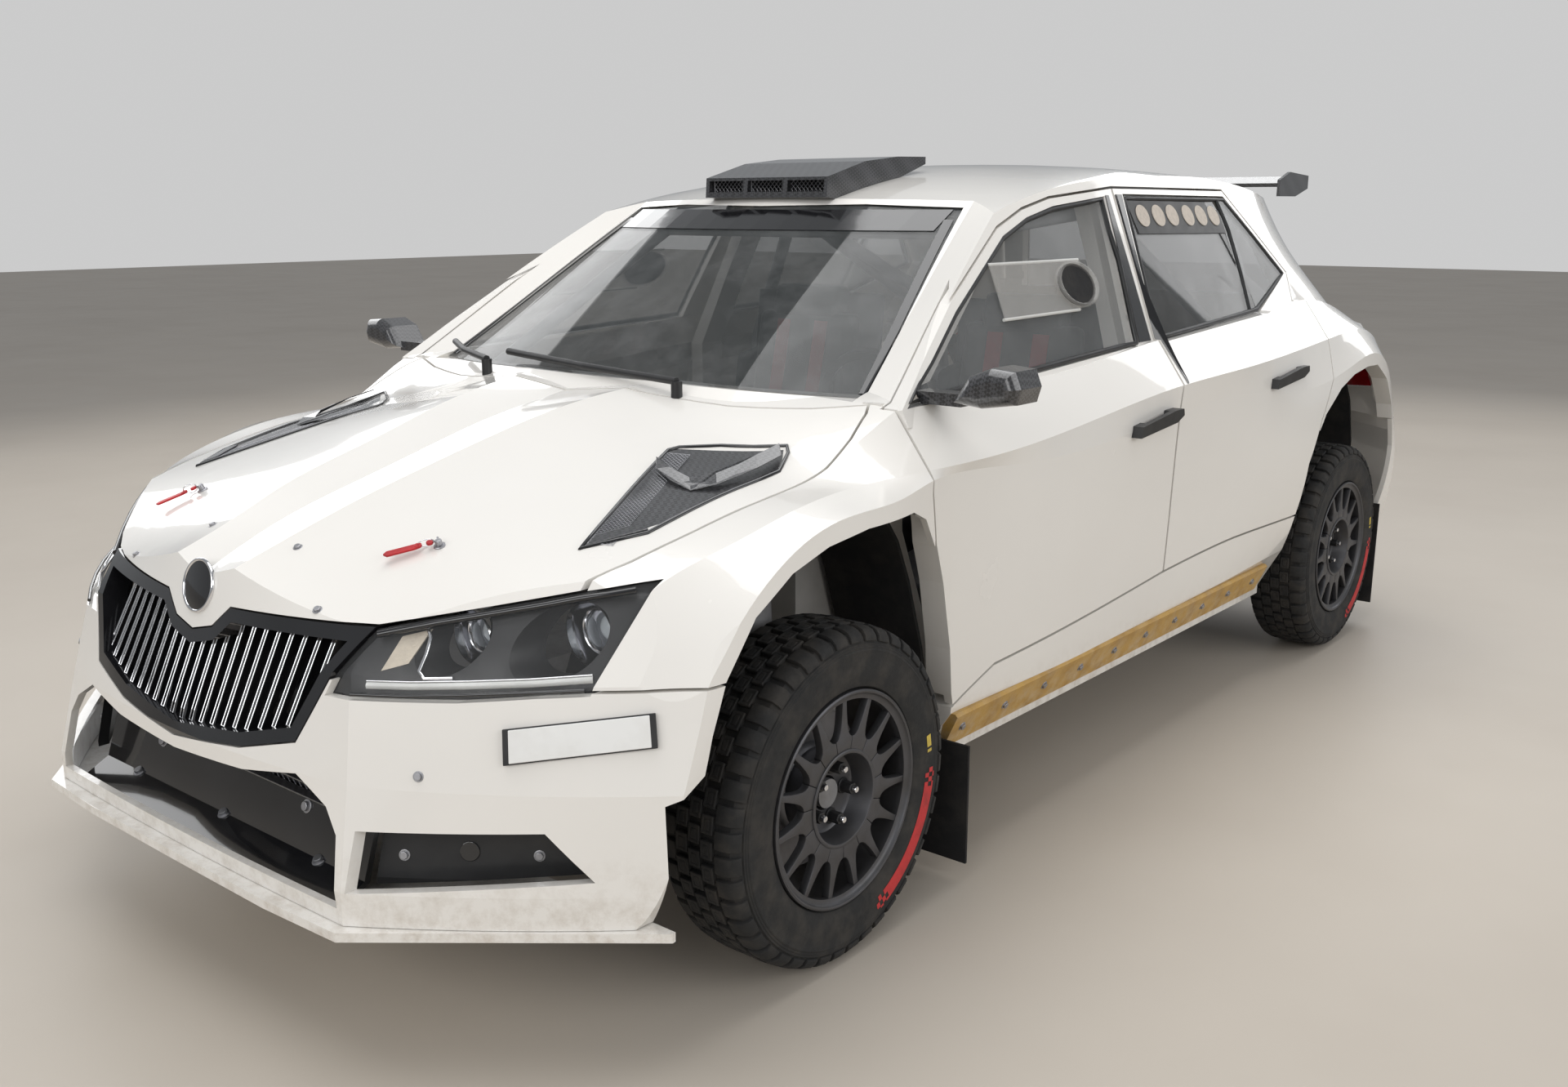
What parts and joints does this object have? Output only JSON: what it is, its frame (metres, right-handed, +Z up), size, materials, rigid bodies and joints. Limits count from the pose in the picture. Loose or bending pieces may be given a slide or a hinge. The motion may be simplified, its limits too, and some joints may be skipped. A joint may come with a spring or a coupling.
{
  "type": "rally car",
  "caption": "White five-door rally hatchback with opening doors, hood and tailgate, steering front wheels, roll cage, roof scoop, rear wing and mudflaps.",
  "frame": {"origin": "on the ground under the middle of the car's length and width", "axes": "+Z up, -Y towards the nose, +X towards the car's left side"},
  "size_m": [2.026, 3.9918, 1.4933],
  "materials": {
    "white_paint": "gloss",
    "black_plastic": "satin",
    "carbon": "gloss",
    "glass": "clear",
    "polycarbonate": "clear",
    "red_lens": "gloss",
    "rubber": "matt",
    "tyre": "matt",
    "gunmetal": "satin",
    "steel": "satin",
    "cage_paint": "satin",
    "floor_paint": "satin",
    "seat_cloth": "matt",
    "cast_metal": "matt",
    "guard_sheet": "satin"
  },
  "bodies": {
    "body": {"arch_liners": "black_plastic", "body_shell": "white_paint", "bumper_inserts": "black_plastic", "dashboard": "black_plastic", "drive_line": "steel", "engine_block": "cast_metal", "exhaust": "steel", "floor_pan": "floor_paint", "front_bumper": "white_paint", "front_fenders": "white_paint", "grille": "black_plastic", "headlamp_lenses": "glass", "headlamps": "black_plastic", "mudflaps": "rubber", "radiator": "cast_metal", "rear_bumper": "white_paint", "roll_cage": "cage_paint", "roof_scoop": "carbon", "seats": "seat_cloth", "sill_guards": "guard_sheet", "skid_plate": "black_plastic", "splitter": "white_paint", "suspension": "steel", "tail_lamps": "red_lens", "windscreen": "glass", "wipers": "black_plastic"},
    "hood": {"hood": "white_paint", "hood_vents": "carbon"},
    "tailgate": {"tailgate": "white_paint", "tailgate_glass": "glass", "rear_wing": "carbon"},
    "front_door_left": {"front_door_left": "white_paint", "front_window_left": "polycarbonate", "mirror_left": "carbon", "front_handle_left": "black_plastic"},
    "rear_door_left": {"rear_door_left": "white_paint", "rear_window_left": "polycarbonate", "rear_handle_left": "black_plastic"},
    "knuckle_left": {"knuckle_left": "steel"},
    "wheel_front_left": {"tyre_front_left": "tyre", "rim_front_left": "gunmetal"},
    "wheel_rear_left": {"tyre_rear_left": "tyre", "rim_rear_left": "gunmetal"},
    "front_door_right": {"front_door_right": "white_paint", "front_window_right": "polycarbonate", "mirror_right": "carbon", "front_handle_right": "black_plastic"},
    "rear_door_right": {"rear_door_right": "white_paint", "rear_window_right": "polycarbonate", "rear_handle_right": "black_plastic"},
    "knuckle_right": {"knuckle_right": "steel"},
    "wheel_front_right": {"tyre_front_right": "tyre", "rim_front_right": "gunmetal"},
    "wheel_rear_right": {"tyre_rear_right": "tyre", "rim_rear_right": "gunmetal"}
  },
  "joints": [
    {"name": "hood_hinge", "type": "hinge", "parent": "body", "child": "hood", "pos_m": [0, -0.86, 1.01], "axis": [-1, 0, 0], "range_deg": [0, 60]},
    {"name": "tailgate_hinge", "type": "hinge", "parent": "body", "child": "tailgate", "pos_m": [0, 1.508, 1.432], "axis": [1, 0, 0], "range_deg": [0, 75]},
    {"name": "front_door_left_hinge", "type": "hinge", "parent": "body", "child": "front_door_left", "pos_m": [0.868, -0.866, 0.7], "axis": [0, 0, -1], "range_deg": [0, 65]},
    {"name": "rear_door_left_hinge", "type": "hinge", "parent": "body", "child": "rear_door_left", "pos_m": [0.86, 0.232, 0.7], "axis": [0, 0, -1], "range_deg": [0, 60]},
    {"name": "front_door_right_hinge", "type": "hinge", "parent": "body", "child": "front_door_right", "pos_m": [-0.868, -0.866, 0.7], "axis": [0, 0, 1], "range_deg": [0, 65]},
    {"name": "rear_door_right_hinge", "type": "hinge", "parent": "body", "child": "rear_door_right", "pos_m": [-0.86, 0.232, 0.7], "axis": [0, 0, 1], "range_deg": [0, 60]},
    {"name": "steer_left", "type": "hinge", "parent": "body", "child": "knuckle_left", "pos_m": [0.745, -1.17, 0.195], "axis": [-0.1752, 0, 0.9845], "range_deg": [-28, 28]},
    {"name": "steer_right", "type": "hinge", "parent": "body", "child": "knuckle_right", "pos_m": [-0.745, -1.17, 0.195], "axis": [0.1752, 0, 0.9845], "range_deg": [-28, 28]},
    {"name": "spin_front_left", "type": "hinge", "parent": "knuckle_left", "child": "wheel_front_left", "pos_m": [0.805, -1.17, 0.322], "axis": [1, 0, 0], "continuous": true},
    {"name": "spin_rear_left", "type": "hinge", "parent": "body", "child": "wheel_rear_left", "pos_m": [0.805, 1.398, 0.322], "axis": [1, 0, 0], "continuous": true},
    {"name": "spin_front_right", "type": "hinge", "parent": "knuckle_right", "child": "wheel_front_right", "pos_m": [-0.805, -1.17, 0.322], "axis": [1, 0, 0], "continuous": true},
    {"name": "spin_rear_right", "type": "hinge", "parent": "body", "child": "wheel_rear_right", "pos_m": [-0.805, 1.398, 0.322], "axis": [1, 0, 0], "continuous": true}
  ],
  "couplings": [
    {"joint": "steer_right", "follows": "steer_left", "ratio": 1}
  ]
}
